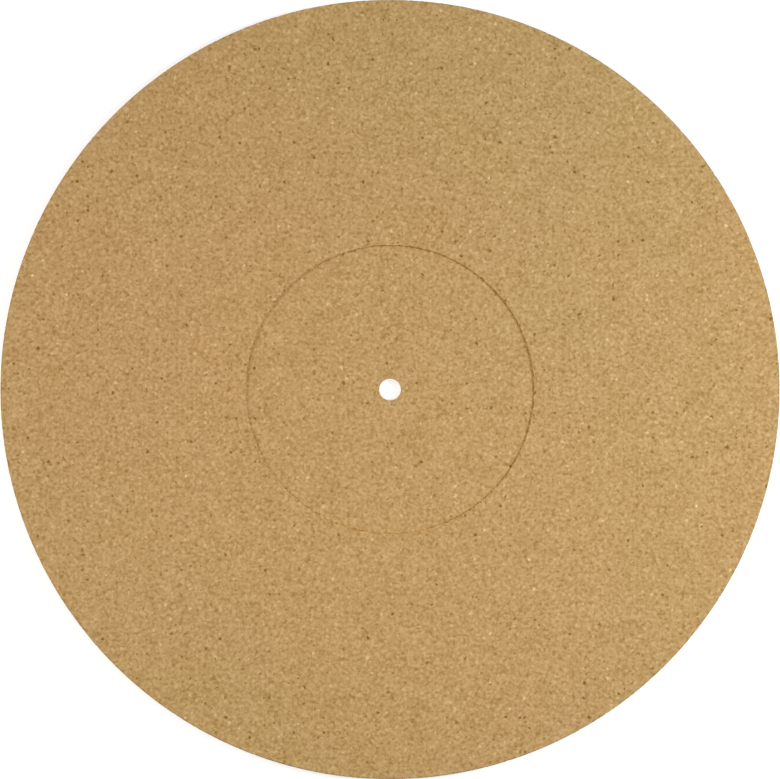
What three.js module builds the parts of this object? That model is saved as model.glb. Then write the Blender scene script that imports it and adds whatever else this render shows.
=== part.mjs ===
// A cork mat for the platter of a record player: one round sheet of fine-grained pressed cork.
// The record lies on the wide flat ring. Its paper label hangs clear over the shallow round recess
// in the middle, and the platter's spindle comes up through the hole at the centre.
//
// Millimetres, +Z up. The origin is the middle of the underside, on the spindle's axis.

import * as THREE from "three";

// The sheet, as cut out with a round die.
const MAT_DIAMETER = 300;
const MAT_THICKNESS = 3;

// The platter's spindle, and how loosely the punched hole goes over it, measured across.
const SPINDLE_DIAMETER = 7.2;
const SPINDLE_CLEARANCE = 1.1;

// The record's paper label, the margin that the recess leaves all round it, and the recess's depth.
const LABEL_DIAMETER = 100;
const LABEL_MARGIN = 5.4;
const RECESS_DEPTH = 0.8;

// How far each cut edge is rounded over.
const RIM_TOP_ROUND = 0.45;
const RIM_FOOT_ROUND = 0.3;
const RECESS_LIP_ROUND = 0.25;
const RECESS_FOOT_ROUND = 0.2;
const HOLE_MOUTH_ROUND = 0.25;
const HOLE_FOOT_ROUND = 0.2;

// How finely the round shapes are faceted.
const STEPS_AROUND = 180;
const STEPS_PER_EDGE = 3;

const CORK_COLOUR = 0xbf9b69;
const CORK_ROUGHNESS = 0.92;

const QUARTER_TURN = Math.PI / 2;

const rimRadius = MAT_DIAMETER / 2;
const recessRadius = LABEL_DIAMETER / 2 + LABEL_MARGIN;
const holeRadius = (SPINDLE_DIAMETER + SPINDLE_CLEARANCE) / 2;
const recessFloor = MAT_THICKNESS - RECESS_DEPTH;

// A quarter round of the section, turning from one angle to the next about its own centre.
// Angles are measured from straight outwards, and grow towards straight up.
function quarterRound(centreRadius, centreHeight, round, fromAngle, toAngle) {
  const clockwise = toAngle < fromAngle;
  const arc = new THREE.EllipseCurve(
    centreRadius, centreHeight, round, round, fromAngle, toAngle, clockwise);
  return arc.getPoints(STEPS_PER_EDGE);
}

// Half of the mat's cross-section: radius across, height up, anticlockwise from the hole's foot.
// The flats lie between one quarter round and the next.
function matSection() {
  const outwards = 0;
  const up = QUARTER_TURN;
  const inwards = 2 * QUARTER_TURN;
  const down = 3 * QUARTER_TURN;
  const holeFoot = quarterRound(
    holeRadius + HOLE_FOOT_ROUND, HOLE_FOOT_ROUND, HOLE_FOOT_ROUND, inwards, down);
  const rimFoot = quarterRound(
    rimRadius - RIM_FOOT_ROUND, RIM_FOOT_ROUND, RIM_FOOT_ROUND, down, down + QUARTER_TURN);
  const rimTop = quarterRound(
    rimRadius - RIM_TOP_ROUND, MAT_THICKNESS - RIM_TOP_ROUND, RIM_TOP_ROUND, outwards, up);
  const recessLip = quarterRound(
    recessRadius + RECESS_LIP_ROUND, MAT_THICKNESS - RECESS_LIP_ROUND, RECESS_LIP_ROUND,
    up, inwards);
  const recessFoot = quarterRound(
    recessRadius - RECESS_FOOT_ROUND, recessFloor + RECESS_FOOT_ROUND, RECESS_FOOT_ROUND,
    outwards, -QUARTER_TURN);
  const holeMouth = quarterRound(
    holeRadius + HOLE_MOUTH_ROUND, recessFloor - HOLE_MOUTH_ROUND, HOLE_MOUTH_ROUND, up, inwards);
  const section = [
    ...holeFoot, ...rimFoot, ...rimTop, ...recessLip, ...recessFoot, ...holeMouth,
  ];
  section.push(section[0].clone());
  return section;
}

// The mat is its section turned once round the spindle's axis, stood up from three.js's Y to Z.
function corkMat() {
  const geometry = new THREE.LatheGeometry(matSection(), STEPS_AROUND);
  geometry.rotateX(QUARTER_TURN);
  const cork = new THREE.MeshStandardMaterial({
    color: CORK_COLOUR,
    roughness: CORK_ROUGHNESS,
    metalness: 0,
  });
  const mesh = new THREE.Mesh(geometry, cork);
  mesh.name = "cork_mat";
  return mesh;
}

const platterMat = new THREE.Group();
platterMat.add(corkMat());

export default platterMat;
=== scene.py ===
import math

import bpy
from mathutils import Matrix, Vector


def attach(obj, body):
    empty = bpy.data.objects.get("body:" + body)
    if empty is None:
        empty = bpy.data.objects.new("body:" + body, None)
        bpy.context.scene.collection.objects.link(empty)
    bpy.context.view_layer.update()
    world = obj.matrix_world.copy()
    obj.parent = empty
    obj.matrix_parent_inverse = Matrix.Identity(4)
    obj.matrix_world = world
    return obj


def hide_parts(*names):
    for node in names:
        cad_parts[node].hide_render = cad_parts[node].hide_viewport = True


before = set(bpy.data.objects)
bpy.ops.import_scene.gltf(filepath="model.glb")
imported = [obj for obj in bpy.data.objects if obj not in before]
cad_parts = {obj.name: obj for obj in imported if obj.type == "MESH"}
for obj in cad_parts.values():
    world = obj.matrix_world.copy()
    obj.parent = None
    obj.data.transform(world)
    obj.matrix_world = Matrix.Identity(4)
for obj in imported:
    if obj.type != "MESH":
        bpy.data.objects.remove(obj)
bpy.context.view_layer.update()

# A cork mat for the platter of a record player, seen from straight above.
# The photograph's up is +Y here, and its right is +X. The mat's own tree works in millimetres.

MM = 0.001
SQUARE_MM_PER_CM = 100
QUARTER_TURN = math.pi / 2

# The sheet, its recess for the record's label, and its hole for the spindle, as in the solid.
RIM_RADIUS = 150.0
THICKNESS = 3.0
RECESS_RADIUS = 55.4
RECESS_DEPTH = 0.8
HOLE_RADIUS = 4.15

# How far each cut edge is rounded over.
RIM_TOP_ROUND = 0.45
RIM_FOOT_ROUND = 0.3
RECESS_LIP_ROUND = 0.25
RECESS_FOOT_ROUND = 0.2
HOLE_MOUTH_ROUND = 0.25
HOLE_FOOT_ROUND = 0.2

# How finely each cut edge is faceted: on a round, all the way round, and up its wall.
STEPS_PER_ROUND = 3
RIM_STEPS, RIM_WALL_CUTS = 1500, 4
RECESS_STEPS, RECESS_WALL_CUTS = 1000, 1
HOLE_STEPS, HOLE_WALL_CUTS = 44, 3

# The grain of a cut edge: how far its grains stand apart, how deep the cut is torn there, and how
# far the flats beside it are worn. A tenth of the grains came away whole.
EDGE_GRAIN = 0.8
EDGE_CRUMBLE = 0.17
RECESS_CRUMBLE = 0.38
WORN_MARGIN = 0.5
PROUD_SHARE, LOST_SHARE = 0.45, 0.55
GRAINS_KEPT = 0.9

# The pits where a grain came away when the sheet was cut and sanded.
PITS_PER_SQUARE_CM = 3.2
PIT_SPACING = 2.3
PIT_LEAST_RADIUS = 0.26
PIT_MORE_RADIUS = 0.4
PIT_SIDES = 7
PIT_LONG = (0.8, 1.3)
PIT_DEEP = (0.35, 0.75)
PIT_RAGGED, PIT_RAG_PER_MM = 0.3, 2.3
FIELD_SIDES = 96
CLEAR_OF_RIM, CLEAR_OF_HOLE, CLEAR_OF_RECESS = 2.0, 1.9, 1.8
UNDERSIDE_TURN = 2.4

# Points this near to each other are one, and points this near to a height lie on it.
SAME_POINT = 0.0008
SAME_HEIGHT = 0.005

# The skin unrolls from the hole out to the foot of the rim, onto a disc this far across.
# The underside lies on the same disc, and its map goes by this name.
SPREAD = 308.4
SPREAD_MAP = "OFBake"
MAP_MIDDLE = (0.5, 0.5, 0.0)

# Noise and chance lie between 0 and 1, about this middle.
HALF = 0.5
MIDDLE = (HALF, HALF, HALF)

# The pressed cork: how many millimetres across each kind of mark is, and how many of 255 levels
# of grey lie between its darkest and its lightest.
DRIFT_BLOT, DRIFT = 1.1, 0.8
GRAIN, GRAIN_LEVELS, GRAIN_SOFTNESS = 1.05, 31.0, 0.7
EVEN_TONE, RARE_TONE = 0.35, 2.6
RIPPLE, RIPPLE_LEVELS = 1.28, 37.5
CLOUD, CLOUD_LEVELS = 11.0, 10.5
FLECK, FLECK_THIN, FLECK_LEVELS = 1.8, 7.0, 17.0
FLECK_BREAK, FLECK_BREAK_SHARPNESS = 0.42, 7
SPECK_APART, DARK_SHARE, DARK_LEVELS, LIGHT_SHARE, LIGHT_LEVELS = 1.9, 0.24, 68.0, 0.12, 42.0
SPECK_RADIUS, SPECK_MORE_RADIUS, SPECK_EDGE = 0.15, 0.28, 0.19
DARK_LEAST, LIGHT_LEAST = 0.15, 0.3
RAGGED_BLOT, RAGGED = 0.7, 0.8
# Torn cork and painted shade on the cut edges and in the pits: blots of darker levels, and a
# painted brown for the colour of the shade.
TORN_AND_SHADE_BLOT, TORN_AND_SHADE_LEVELS, SHADE_BROWN, SHADE_BROWN_IN_GREEN = 1.2, 28.0, 0.18, 0.25
TORN_AND_SHADE_FROM, TORN_AND_SHADE_SHARPNESS = 4.4, 8
HUE_BLOT, RED_SHIFT, BLUE_SHIFT = 150.0, 0.075, 0.11
RELIEF, RELIEF_SHARE, RELIEF_METRES = 0.45, 0.35, 0.00003
ROUGH, GRAIN_ROUGH, TORN_ROUGH, GLOSS = 0.82, 0.1, 0.08, 0.25

# The cork's colour from its darkest level to its lightest, which lie this many levels apart.
CORK_LEVELS = 120
CORK_COLOURS = (
    (0.0, (136, 97, 39)), (1.0, (250, 218, 169)),
    (0.25, (165, 126, 68)), (0.5, (195, 158, 104)), (0.75, (223, 188, 135)))

# The picture's width, and the rim's radius in it.
PICTURE_WIDTH, RIM_IN_PICTURE = 780, 389.7
LENS, SENSOR_WIDTH = 100.0, 36.0

# How much of the light comes from all round.
AIR_LIGHT = 0.14

# The floor reflects this much, and glows by itself to the camera: a little less near the mat, where
# the lamps light it as well, out to this many metres. It lies a hair under the mat.
FLOOR_GREY = (0.48, 0.48, 0.48, 1.0)
FLOOR_GLOW, FULL_GLOW = 0.68, 1.01
FLOOR_LIT = 0.9
FLOOR_REACH = 6.0
FLOOR_DROP = 0.0002


class Wire:
    """A value on its way from one node to the next. Sums written with it become nodes."""

    def __init__(self, bench, socket):
        self.bench, self.socket = bench, socket

    def __add__(self, other):
        return self.bench.sum("ADD", self, other)

    def __sub__(self, other):
        return self.bench.sum("SUBTRACT", self, other)

    def __rsub__(self, other):
        return self.bench.sum("SUBTRACT", other, self)

    def __mul__(self, other):
        return self.bench.sum("MULTIPLY", self, other)

    def __truediv__(self, other):
        return self.bench.sum("DIVIDE", self, other)

    def __pow__(self, other):
        return self.bench.sum("POWER", self, other)

    def __gt__(self, other):
        return self.bench.sum("GREATER_THAN", self, other)

    def __lt__(self, other):
        return self.bench.sum("LESS_THAN", self, other)

    __radd__ = __add__
    __rmul__ = __mul__


class Bench:
    """A node tree being put together."""

    def __init__(self, tree):
        self.tree = tree

    def feed(self, socket, value):
        if isinstance(value, Wire):
            self.tree.links.new(value.socket, socket)
        else:
            socket.default_value = value

    def node(self, kind, settings=None, sockets=None, out=0):
        """Adds a node, its settings first and then its sockets by name or number."""
        made = self.tree.nodes.new(kind)
        for name, value in (settings or {}).items():
            setattr(made, name, value)
        for name, value in (sockets or {}).items():
            self.feed(made.inputs[name], value)
        return Wire(self, made.outputs[out])

    def outputs(self, kind, settings, sockets, *names):
        """Adds a node and gives the outputs that are named."""
        made = self.node(kind, settings, sockets).socket.node
        return [Wire(self, made.outputs[name]) for name in names]

    def sum(self, operation, *terms):
        """One step of arithmetic, on numbers or on vectors."""
        vector = [self.is_vector(term) for term in terms]
        settings, sockets = {"operation": operation}, dict(enumerate(terms))
        if not any(vector):
            return self.node("ShaderNodeMath", settings, sockets)
        if operation == "MULTIPLY" and not all(vector):
            place, number = terms if vector[0] else reversed(terms)
            return self.node(
                "ShaderNodeVectorMath", {"operation": "SCALE"}, {0: place, "Scale": number})
        return self.node("ShaderNodeVectorMath", settings, sockets)

    def is_vector(self, term):
        if isinstance(term, Wire):
            return term.socket.type in ("VECTOR", "RGBA")
        return isinstance(term, tuple)

    def off(self, value, mark):
        """How far a number is from a mark, either way."""
        return self.node("ShaderNodeMath", {"operation": "ABSOLUTE"}, {0: value - mark})

    def clip(self, value):
        """Holds a number between 0 and 1."""
        settings = {"operation": "ADD", "use_clamp": True}
        return self.node("ShaderNodeMath", settings, {0: value, 1: 0.0})

    def axes(self, place):
        return self.outputs("ShaderNodeSeparateXYZ", None, {0: place}, "X", "Y", "Z")

    def place(self, x=0.0, y=0.0, z=0.0):
        return self.node("ShaderNodeCombineXYZ", None, {"X": x, "Y": y, "Z": z})


class MatBench(Bench):
    """The tree that makes the mat."""

    def chance(self, low, high, seed):
        """A random number for each point, pit or piece."""
        sockets = {2: low, 3: high, 8: seed}
        return self.node("FunctionNodeRandomValue", {"data_type": "FLOAT"}, sockets, out=1)

    def position(self):
        return self.node("GeometryNodeInputPosition")

    def from_axis(self):
        """How far a point is from the spindle's axis, and the unit direction to it."""
        level = {0: self.position() * (1.0, 1.0, 0.0)}
        out = self.node("ShaderNodeVectorMath", {"operation": "LENGTH"}, level, out=1)
        return out, self.node("ShaderNodeVectorMath", {"operation": "NORMALIZE"}, level)

    def move(self, shape, place=None, by=None):
        """Puts each point at a place, or moves it by a distance."""
        sockets = {"Geometry": shape}
        if place is not None:
            sockets["Position"] = place
        if by is not None:
            sockets["Offset"] = by
        return self.node("GeometryNodeSetPosition", None, sockets)

    def store(self, shape, name, value, data_type="FLOAT", domain="POINT"):
        settings = {"data_type": data_type, "domain": domain}
        sockets = {"Geometry": shape, "Name": name, "Value": value}
        return self.node("GeometryNodeStoreNamedAttribute", settings, sockets)

    def join(self, *shapes):
        joined = self.node("GeometryNodeJoinGeometry")
        for shape in reversed(shapes):
            self.tree.links.new(shape.socket, joined.socket.node.inputs[0])
        return joined

    def weld(self, shape):
        sockets = {"Geometry": shape, "Distance": SAME_POINT}
        return self.node("GeometryNodeMergeByDistance", None, sockets)

    def flip(self, shape):
        return self.node("GeometryNodeFlipFaces", None, {"Mesh": shape})

    def spread_out(self, shape, across, around):
        """Lays a shape on the unrolled disc, so far out in this unit direction from the middle."""
        on_map = around * (across / SPREAD) + MAP_MIDDLE
        at_points = {"data_type": "FLOAT_VECTOR", "domain": "POINT"}
        on_map = self.node("GeometryNodeFieldOnDomain", at_points, {0: on_map})
        return self.store(shape, SPREAD_MAP, on_map, "FLOAT2", "CORNER")


def new_mat_tree(sizes):
    """An empty tree with a named input for each size."""
    tree = bpy.data.node_groups.new("cork_mat", "GeometryNodeTree")
    kinds = {int: "NodeSocketInt", float: "NodeSocketFloat"}
    for name, value in sizes.items():
        kind = kinds.get(type(value), "NodeSocketMaterial")
        tree.interface.new_socket(name, in_out="INPUT", socket_type=kind)
    tree.interface.new_socket("Mat", in_out="OUTPUT", socket_type="NodeSocketGeometry")
    return tree


def cut_edge(
        mat, radius, foot, head, foot_round, head_round,
        faces_out, steps, wall_cuts, run_on, crumble):
    """One cut edge all round, from the flat below it to the flat above it.

    foot and head are heights. A round is negative where its corner stands outside the wall.
    run_on is how far out the flat above it lies on the unrolled disc where the edge begins.
    The rows of points run up the edge. The first and the last lie on the flats beside it.
    """
    rows = 2 * STEPS_PER_ROUND + wall_cuts + 3
    index = mat.node("GeometryNodeInputIndex")
    column = mat.node("ShaderNodeMath", {"operation": "FLOOR"}, {0: (index + HALF) / rows})
    row = index - column * rows
    angle = column * (2 * math.pi / steps)
    around = mat.place(
        mat.node("ShaderNodeMath", {"operation": "COSINE"}, {0: angle}),
        mat.node("ShaderNodeMath", {"operation": "SINE"}, {0: angle}),
    )
    below, above = mat.clip(1 - row), mat.clip(row - rows + 2)
    low = mat.clip((row - 1) / STEPS_PER_ROUND) * QUARTER_TURN
    high = mat.clip((row - 1 - STEPS_PER_ROUND - wall_cuts) / STEPS_PER_ROUND) * QUARTER_TURN
    up_wall = mat.clip((row - 1 - STEPS_PER_ROUND) / wall_cuts)

    def wave(operation, value):
        return mat.node("ShaderNodeMath", {"operation": operation}, {0: value})

    foot_size, head_size = wave("ABSOLUTE", foot_round), wave("ABSOLUTE", head_round)
    wall = head - foot - foot_size - head_size
    out = radius - foot_round * (1 - wave("SINE", low)) - head_round * (1 - wave("COSINE", high))
    out = out - (foot_round / foot_size * below + head_round / head_size * above) * WORN_MARGIN
    height = foot + foot_size * (1 - wave("COSINE", low)) + wall * up_wall
    height = height + head_size * wave("SINE", high)
    along = foot_size * low + wall * up_wall + head_size * high + (above - below) * WORN_MARGIN
    whole = foot_size * QUARTER_TURN + wall + head_size * QUARTER_TURN
    across = run_on + (whole - along) * (1.0 if faces_out else -1.0)

    # Grains stand a little proud of the cut, and here and there one came away.
    clean = around * out + mat.place(z=height)
    near, grain = mat.outputs(
        "ShaderNodeTexVoronoi", None, {"Vector": clean, "Scale": 1 / EDGE_GRAIN},
        "Distance", "Color")
    lost = mat.axes(grain)[0] > GRAINS_KEPT
    # How far each grain is torn back into the cut: this moves the points and paints nothing.
    torn_and_shade = crumble * (near * PROUD_SHARE + lost * LOST_SHARE)
    cut = clean + around * (torn_and_shade * (-1.0 if faces_out else 1.0))

    # The torn look and a painted shade lie from the foot round up the wall, and fade out over the
    # upper round.
    grid = mat.node("GeometryNodeMeshGrid", None, {"Vertices X": steps + 1, "Vertices Y": rows})
    edge = mat.spread_out(grid, across, around)
    edge = mat.store(edge, "torn_and_shade", (1 - below) * (1 - high / QUARTER_TURN))
    edge = mat.move(edge, place=cut)
    return edge if faces_out else mat.flip(edge)


def pit_bowls(mat, size, seed):
    """Shallow bowls of odd sizes, scattered over the disc at height 0 and clear of every edge."""
    cone = mat.node("GeometryNodeMeshCone", {"fill_type": "NONE"}, {
        "Vertices": PIT_SIDES, "Side Segments": 2,
        "Radius Top": 1.0, "Radius Bottom": 0.0, "Depth": 1.0})
    # Each bowl keeps its depth at each point, for a painted shade that is darkest at the bottom of
    # the pit.
    x, y, _ = mat.axes(mat.position())
    hollow = 1 - (x * x + y * y)
    bowl = mat.flip(mat.store(cone, "torn_and_shade", hollow))
    bowl = mat.move(bowl, place=mat.place(x, y, 0 - hollow))

    field = mat.node("GeometryNodeMeshCircle", {"fill_type": "TRIANGLE_FAN"}, {
        "Vertices": FIELD_SIDES, "Radius": size["Rim Radius"] - CLEAR_OF_RIM})
    points = mat.node("GeometryNodeDistributePointsOnFaces", {"distribute_method": "POISSON"}, {
        "Mesh": field, "Distance Min": PIT_SPACING, "Seed": seed,
        "Density Max": size["Pits"] / SQUARE_MM_PER_CM})
    out, _ = mat.from_axis()
    by_hole = out < size["Hole Radius"] + CLEAR_OF_HOLE
    by_recess = mat.off(out, size["Recess Radius"]) < CLEAR_OF_RECESS
    points = mat.node("GeometryNodeDeleteGeometry", None, {
        "Geometry": points, "Selection": by_hole + by_recess})

    wide = PIT_LEAST_RADIUS + PIT_MORE_RADIUS * mat.chance(0.0, 1.0, 1) ** 3.0
    long = mat.chance(*PIT_LONG, 2)
    deep = wide * mat.chance(*PIT_DEEP, 3)
    bowls = mat.node("GeometryNodeInstanceOnPoints", None, {
        "Points": points, "Instance": bowl,
        "Rotation": mat.place(z=mat.chance(0.0, 2 * math.pi, 4)),
        "Scale": mat.place(wide * long, wide / long, deep)})
    bowls = mat.node("GeometryNodeRealizeInstances", None, {"Geometry": bowls})
    ragged = mat.node("ShaderNodeTexNoise", None, {
        "Vector": mat.position(), "Scale": PIT_RAG_PER_MM}, out="Color")
    x, y, _ = mat.axes((ragged - MIDDLE) * PIT_RAGGED)
    return mat.move(bowls, by=mat.place(x, y))


def flat(mat, edges, height):
    """The flat at this height: the sheet between the open edges that lie there."""
    open_edge = mat.node("GeometryNodeInputMeshEdgeNeighbors") < 2
    level = mat.off(mat.axes(mat.position())[2], height) < SAME_HEIGHT
    outline = mat.node("GeometryNodeMeshToCurve", None, {
        "Mesh": edges, "Selection": open_edge * level})
    sheet = mat.node("GeometryNodeFillCurve", {"mode": "TRIANGLES"}, {"Curve": outline})
    return mat.move(sheet, by=mat.place(z=height))


def cork_mat_tree(sizes):
    """The whole mat: three cut edges, the pits on both sides, and the three flats between them."""
    tree = new_mat_tree(sizes)
    mat = MatBench(tree)
    given = tree.nodes.new("NodeGroupInput")
    size = {name: Wire(mat, given.outputs[name]) for name in sizes}
    top = size["Thickness"]
    floor = top - size["Recess Depth"]

    # How much further out the top ring lies on the disc than it is: the recess's wall's length.
    rounds = size["Recess Foot Round"] + size["Recess Lip Round"]
    step = size["Recess Depth"] + rounds * (QUARTER_TURN - 2)
    seed = size["Seed"]

    rim = cut_edge(
        mat, size["Rim Radius"], 0.0, top,
        size["Rim Foot Round"], size["Rim Top Round"],
        True, RIM_STEPS, RIM_WALL_CUTS,
        size["Rim Radius"] - size["Rim Top Round"] + step, size["Crumble"])
    recess = cut_edge(
        mat, size["Recess Radius"], floor, top,
        size["Recess Foot Round"], 0 - size["Recess Lip Round"],
        False, RECESS_STEPS, RECESS_WALL_CUTS,
        size["Recess Radius"] + size["Recess Lip Round"] + step, size["Recess Crumble"])
    hole = cut_edge(
        mat, size["Hole Radius"], 0.0, floor,
        0 - size["Hole Foot Round"], 0 - size["Hole Mouth Round"],
        False, HOLE_STEPS, HOLE_WALL_CUTS,
        size["Hole Radius"] + size["Hole Mouth Round"], size["Crumble"])

    def on_disc(shape):
        out, around = mat.from_axis()
        return mat.spread_out(shape, out + step * (out > size["Recess Radius"]), around)

    pits = on_disc(pit_bowls(mat, size, seed))
    out, _ = mat.from_axis()
    rise = floor + size["Recess Depth"] * (out > size["Recess Radius"])
    pits_above = mat.move(pits, by=mat.place(z=rise))
    turned = {"Rotation": (0.0, 0.0, UNDERSIDE_TURN), "Scale": (1.0, 1.0, -1.0)}
    pits_below = mat.flip(mat.node("GeometryNodeTransform", None, {"Geometry": pits, **turned}))

    edges = mat.weld(mat.join(rim, recess, hole, pits_above, pits_below))
    edges = mat.node("GeometryNodeSetShadeSmooth", None, {"Geometry": edges, "Shade Smooth": True})
    above = on_disc(mat.join(flat(mat, edges, top), flat(mat, edges, floor)))
    back = {"Geometry": flat(mat, edges, 0.0), "Rotation": (0.0, 0.0, -UNDERSIDE_TURN)}
    below = on_disc(mat.node("GeometryNodeTransform", None, back))
    forth = {"Geometry": below, "Rotation": (0.0, 0.0, UNDERSIDE_TURN)}
    below = mat.flip(mat.node("GeometryNodeTransform", None, forth))
    flats = mat.node("GeometryNodeSetShadeSmooth", None, {
        "Geometry": mat.join(above, below), "Shade Smooth": False})

    whole = mat.weld(mat.join(edges, flats))
    whole = mat.node("GeometryNodeTransform", None, {"Geometry": whole, "Scale": (MM, MM, MM)})
    whole = mat.node("GeometryNodeRealizeInstances", None, {"Geometry": whole})
    whole = mat.node("GeometryNodeSetMaterial", None, {
        "Geometry": whole, "Material": size["Cork"]})
    tree.links.new(whole.socket, tree.nodes.new("NodeGroupOutput").inputs[0])
    return tree


def grown(name, tree, values):
    """Runs a tree on an empty mesh and keeps the result as a plain piece."""
    seed_object = bpy.data.objects.new("growing", bpy.data.meshes.new("growing"))
    bpy.context.scene.collection.objects.link(seed_object)
    modifier = seed_object.modifiers.new("growing", "NODES")
    modifier.node_group = tree
    for item in tree.interface.items_tree:
        if item.in_out == "INPUT":
            modifier[item.identifier] = values[item.name]
    ready = seed_object.evaluated_get(bpy.context.evaluated_depsgraph_get())
    mesh = bpy.data.meshes.new_from_object(ready)
    mesh.name = name
    bpy.data.objects.remove(seed_object)
    piece = bpy.data.objects.new(name, mesh)
    bpy.context.scene.collection.objects.link(piece)
    return piece


def colour(red, green, blue):
    """A colour written as it looks, from 0 to 255, for a socket that takes light."""
    def light(value):
        value = value / 255
        return value / 12.92 if value <= 0.04045 else ((value + 0.055) / 1.055) ** 2.4
    return (light(red), light(green), light(blue), 1.0)


class Finish(Bench):
    """A material being put together."""

    def noise(self, place, blot, detail, shift=None, out="Fac"):
        """Soft noise with blots of about so many millimetres: a number, or three as a colour.

        A shift reads it from a place of its own, so that no two kinds of mark lie alike.
        """
        if shift is not None:
            place = place + (*shift, 0.0)
        return self.node("ShaderNodeTexNoise", {"noise_dimensions": "2D"}, {
            "Vector": place, "Scale": 1 / blot, "Detail": detail}, out=out)

    def cells(self, place, apart, softness=None):
        """Cells this many millimetres apart: how far it is to the middle, and three chances."""
        settings = {"voronoi_dimensions": "2D", "feature": "F1"}
        sockets = {"Vector": place, "Scale": 1 / apart}
        if softness is not None:
            settings["feature"] = "SMOOTH_F1"
            sockets["Smoothness"] = softness
        away, chances = self.outputs("ShaderNodeTexVoronoi", settings, sockets, "Distance", "Color")
        return [away] + self.axes(chances)

    def ramp(self, value, *stops):
        made = self.node("ShaderNodeValToRGB", None, {"Fac": value})
        band = made.socket.node.color_ramp
        for number, (at, shade) in enumerate(stops):
            stop = band.elements[number] if number < 2 else band.elements.new(at)
            stop.position, stop.color = at, shade
        return made

    def mix(self, share, under, over, blend="MIX"):
        settings = {"data_type": "RGBA", "blend_type": blend, "clamp_factor": True}
        return self.node("ShaderNodeMix", settings, {0: share, 6: under, 7: over}, out=2)


def pressed_cork():
    material = bpy.data.materials.new("pressed_cork")
    material.use_nodes = True
    cork = Finish(material.node_tree)
    shader = material.node_tree.nodes["Principled BSDF"]

    on_map = cork.node("ShaderNodeUVMap", {"uv_map": SPREAD_MAP})
    place = (on_map - MAP_MIDDLE) * SPREAD
    bent = place + (cork.noise(place, DRIFT_BLOT, 1.0, out="Color") - MIDDLE) * DRIFT

    # Fine grains pressed together, most of them near the middle tone.
    _, tone, lift, _ = cork.cells(bent, GRAIN, GRAIN_SOFTNESS)
    tone = tone - HALF
    levels = tone * (EVEN_TONE + RARE_TONE * tone * tone) * GRAIN_LEVELS
    levels = levels + (cork.noise(place, RIPPLE, 1.0) - HALF) * RIPPLE_LEVELS
    levels = levels + (cork.noise(place, CLOUD, 3.0, shift=(7.0, 3.0)) - HALF) * CLOUD_LEVELS

    # Short crooked flecks, where the edges of the grains show.
    crease = cork.off(cork.noise(bent, FLECK, 1.0, shift=(61.0, 29.0)), HALF)
    broken = cork.noise(place, FLECK, 1.0, shift=(11.0, 71.0)) - FLECK_BREAK
    broken = cork.clip(broken * FLECK_BREAK_SHARPNESS)
    levels = levels - cork.clip(1 - crease * FLECK_THIN) * broken * FLECK_LEVELS

    # Small dark specks of bark, and fewer pale ones.
    ragged = cork.noise(place, RAGGED_BLOT, 1.0, shift=(47.0, 13.0), out="Color") - MIDDLE
    away, rare, wide, depth = cork.cells(bent + ragged * RAGGED + (5.0, 43.0, 0.0), SPECK_APART)
    blot = cork.clip((wide ** 3.0 * SPECK_MORE_RADIUS + SPECK_RADIUS - away) / SPECK_EDGE)
    dark = (rare < DARK_SHARE) * blot * (depth * depth * (1 - DARK_LEAST) + DARK_LEAST)
    light = (rare > 1 - LIGHT_SHARE) * blot * (depth * (1 - LIGHT_LEAST) + LIGHT_LEAST)
    levels = levels - dark * DARK_LEVELS + light * LIGHT_LEVELS

    # Torn cork and painted shade in the pits and on the cut edges: darker in blots, and browner.
    torn_and_shade = cork.node("ShaderNodeAttribute", {"attribute_name": "torn_and_shade"}, out="Fac")
    blotted = cork.noise(place, TORN_AND_SHADE_BLOT, 1.0, shift=(3.0, 59.0)) * TORN_AND_SHADE_SHARPNESS - TORN_AND_SHADE_FROM
    levels = levels - torn_and_shade * cork.clip(blotted) * TORN_AND_SHADE_LEVELS
    stops = [(at, colour(*shade)) for at, shade in CORK_COLOURS]
    base = cork.ramp(levels / CORK_LEVELS + HALF, *stops)

    # Over the sheet the hue drifts slowly between redder and greener, and yellower and paler.
    red = cork.noise(place, HUE_BLOT, 5.0, shift=(158.0, 858.0)) - HALF
    blue = cork.noise(place, HUE_BLOT, 5.0, shift=(259.0, 860.0)) - HALF
    # Painted shade is browner: less green, and still less blue.
    painted_shade_brown = torn_and_shade * SHADE_BROWN
    tint = cork.place(
        1 + red * RED_SHIFT, 1 - red * RED_SHIFT - painted_shade_brown * SHADE_BROWN_IN_GREEN,
        1 + blue * BLUE_SHIFT - painted_shade_brown)
    cork.feed(shader.inputs["Base Color"], cork.mix(1.0, base, tint, "MULTIPLY"))

    height = lift + cork.noise(place, RELIEF, 1.0) * RELIEF_SHARE
    bump = cork.node("ShaderNodeBump", None, {
        "Strength": 1.0, "Distance": RELIEF_METRES, "Height": height})
    cork.feed(shader.inputs["Normal"], bump)
    cork.feed(shader.inputs["Roughness"], ROUGH + lift * GRAIN_ROUGH + torn_and_shade * TORN_ROUGH)
    shader.inputs["Specular IOR Level"].default_value = GLOSS
    return material


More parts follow.
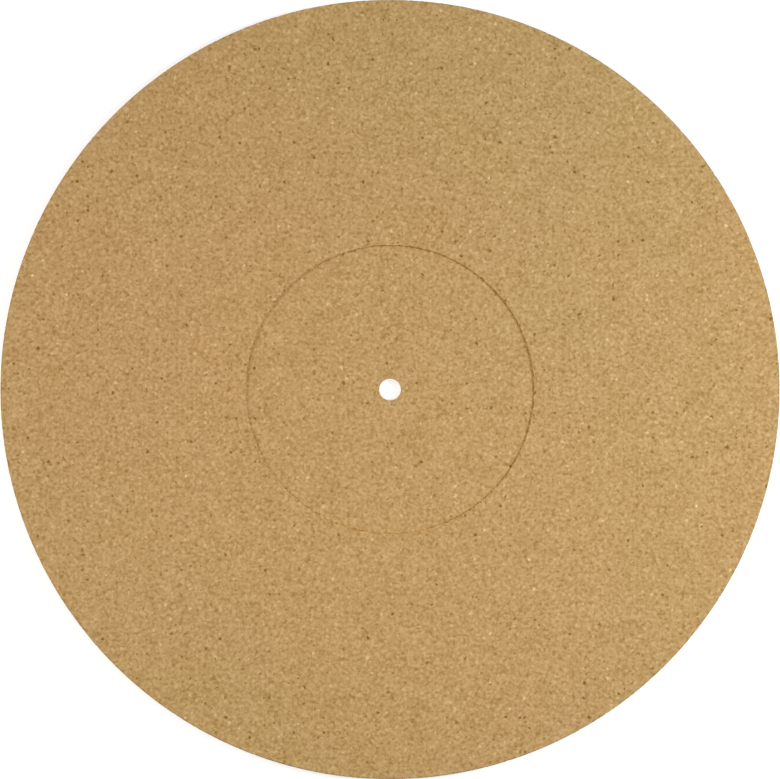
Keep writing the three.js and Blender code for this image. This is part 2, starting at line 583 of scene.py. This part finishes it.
def white_floor():
    """A pale floor that keeps a faint shadow and is white to the camera."""
    material = bpy.data.materials.new("white_floor")
    material.use_nodes = True
    ground = Bench(material.node_tree)
    shader = material.node_tree.nodes["Principled BSDF"]
    rays = ground.outputs(
        "ShaderNodeLightPath", None, None, "Is Camera Ray", "Is Glossy Ray", "Is Transmission Ray")
    seen = ground.clip(rays[0] + rays[1] + rays[2])
    shader.inputs["Base Color"].default_value = FLOOR_GREY
    shader.inputs["Roughness"].default_value = 1.0
    shader.inputs["Specular IOR Level"].default_value = 0.0
    shader.inputs["Emission Strength"].default_value = 1.0
    place = ground.node("ShaderNodeTexCoord", out="Object")
    out = ground.node("ShaderNodeVectorMath", {"operation": "LENGTH"}, {0: place}, out=1)
    far = ground.clip(out / FLOOR_LIT)
    glow = seen * (FLOOR_GLOW + far * far * (FULL_GLOW - FLOOR_GLOW))
    ground.feed(shader.inputs["Emission Color"], ground.place(glow, glow, glow))
    mesh = bpy.data.meshes.new("floor")
    signs = [(-1, -1), (1, -1), (1, 1), (-1, 1)]
    corners = [(x * FLOOR_REACH, y * FLOOR_REACH, 0.0) for x, y in signs]
    mesh.from_pydata(corners, [], [(0, 1, 2, 3)])
    mesh.materials.append(material)
    floor = bpy.data.objects.new("floor", mesh)
    bpy.context.scene.collection.objects.link(floor)
    floor.location.z = -FLOOR_DROP


def lamp(name, place, aim, size, power, shade=(1.0, 1.0, 1.0)):
    """A soft rectangular lamp, long side first, that isn't seen by the camera."""
    data = bpy.data.lights.new(name, "AREA")
    data.shape, data.energy = "RECTANGLE", power
    data.size, data.size_y = size
    data.color = shade
    made = bpy.data.objects.new(name, data)
    made.location = place
    made.rotation_euler = (Vector(place) - Vector(aim)).to_track_quat("Z", "Y").to_euler()
    made.visible_camera = False
    bpy.context.scene.collection.objects.link(made)


def around(turn, rise, distance):
    """A place at this turn from +X and this rise from the floor, both in degrees."""
    turn, rise = math.radians(turn), math.radians(rise)
    level = math.cos(rise) * distance
    return (math.cos(turn) * level, math.sin(turn) * level, math.sin(rise) * distance)


def studio():
    world = bpy.data.worlds.new("studio")
    bpy.context.scene.world = world
    world.use_nodes = True
    air = Bench(world.node_tree)
    rays = air.outputs(
        "ShaderNodeLightPath", None, None, "Is Camera Ray", "Is Glossy Ray", "Is Transmission Ray")
    seen = air.clip(rays[0] + rays[1] + rays[2])
    background = world.node_tree.nodes["Background"]
    background.inputs["Color"].default_value = (1.0, 1.0, 1.0, 1.0)
    air.feed(background.inputs["Strength"], AIR_LIGHT + seen * (1.0 - AIR_LIGHT))

    # From the right and the upper left, and a long one overhead. The first is a trace cooler and
    # the last a trace warmer than white, so that the recess's shadow is as brown as it should be.
    middle = (0.0, 0.0, 0.0)
    lamp(
        "key_lamp", around(turn=10, rise=35.5, distance=0.9), middle,
        size=(0.19, 0.19), power=4.85, shade=(0.92, 1.0, 1.13))
    lamp(
        "fill_lamp", around(turn=161, rise=29, distance=1.4), middle,
        size=(0.5, 0.5), power=9.0)
    lamp(
        "strip_lamp", (0.0, -0.07, 0.34), (0.0, -0.07, 0.0),
        size=(0.84, 0.06), power=0.586, shade=(1.09, 1.0, 0.83))


def camera_above():
    """A long lens straight above the middle, framed so that the mat fills the picture."""
    data = bpy.data.cameras.new("camera")
    data.sensor_width, data.lens = SENSOR_WIDTH, LENS
    mean_rim = (RIM_RADIUS - EDGE_CRUMBLE / 2) * MM
    seen_width = PICTURE_WIDTH / RIM_IN_PICTURE * mean_rim
    distance = data.lens / data.sensor_width * seen_width
    data.clip_start, data.clip_end = 0.05, 50.0
    camera = bpy.data.objects.new("camera", data)
    camera.location = (0.0, 0.0, THICKNESS * MM + distance)
    bpy.context.scene.collection.objects.link(camera)
    bpy.context.scene.camera = camera


camera_above()
studio()
white_floor()

MAT_SIZES = {
    "Rim Radius": RIM_RADIUS,
    "Thickness": THICKNESS,
    "Recess Radius": RECESS_RADIUS,
    "Recess Depth": RECESS_DEPTH,
    "Hole Radius": HOLE_RADIUS,
    "Rim Top Round": RIM_TOP_ROUND,
    "Rim Foot Round": RIM_FOOT_ROUND,
    "Recess Lip Round": RECESS_LIP_ROUND,
    "Recess Foot Round": RECESS_FOOT_ROUND,
    "Hole Mouth Round": HOLE_MOUTH_ROUND,
    "Hole Foot Round": HOLE_FOOT_ROUND,
    "Crumble": EDGE_CRUMBLE,
    "Recess Crumble": RECESS_CRUMBLE,
    "Pits": PITS_PER_SQUARE_CM,
    "Seed": 7,
    "Cork": pressed_cork(),
}
mat_piece = grown("cork_mat_surface", cork_mat_tree(MAT_SIZES), MAT_SIZES)
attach(mat_piece, "root")
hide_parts("cork_mat")

bpy.context.scene.view_settings.view_transform = "Standard"
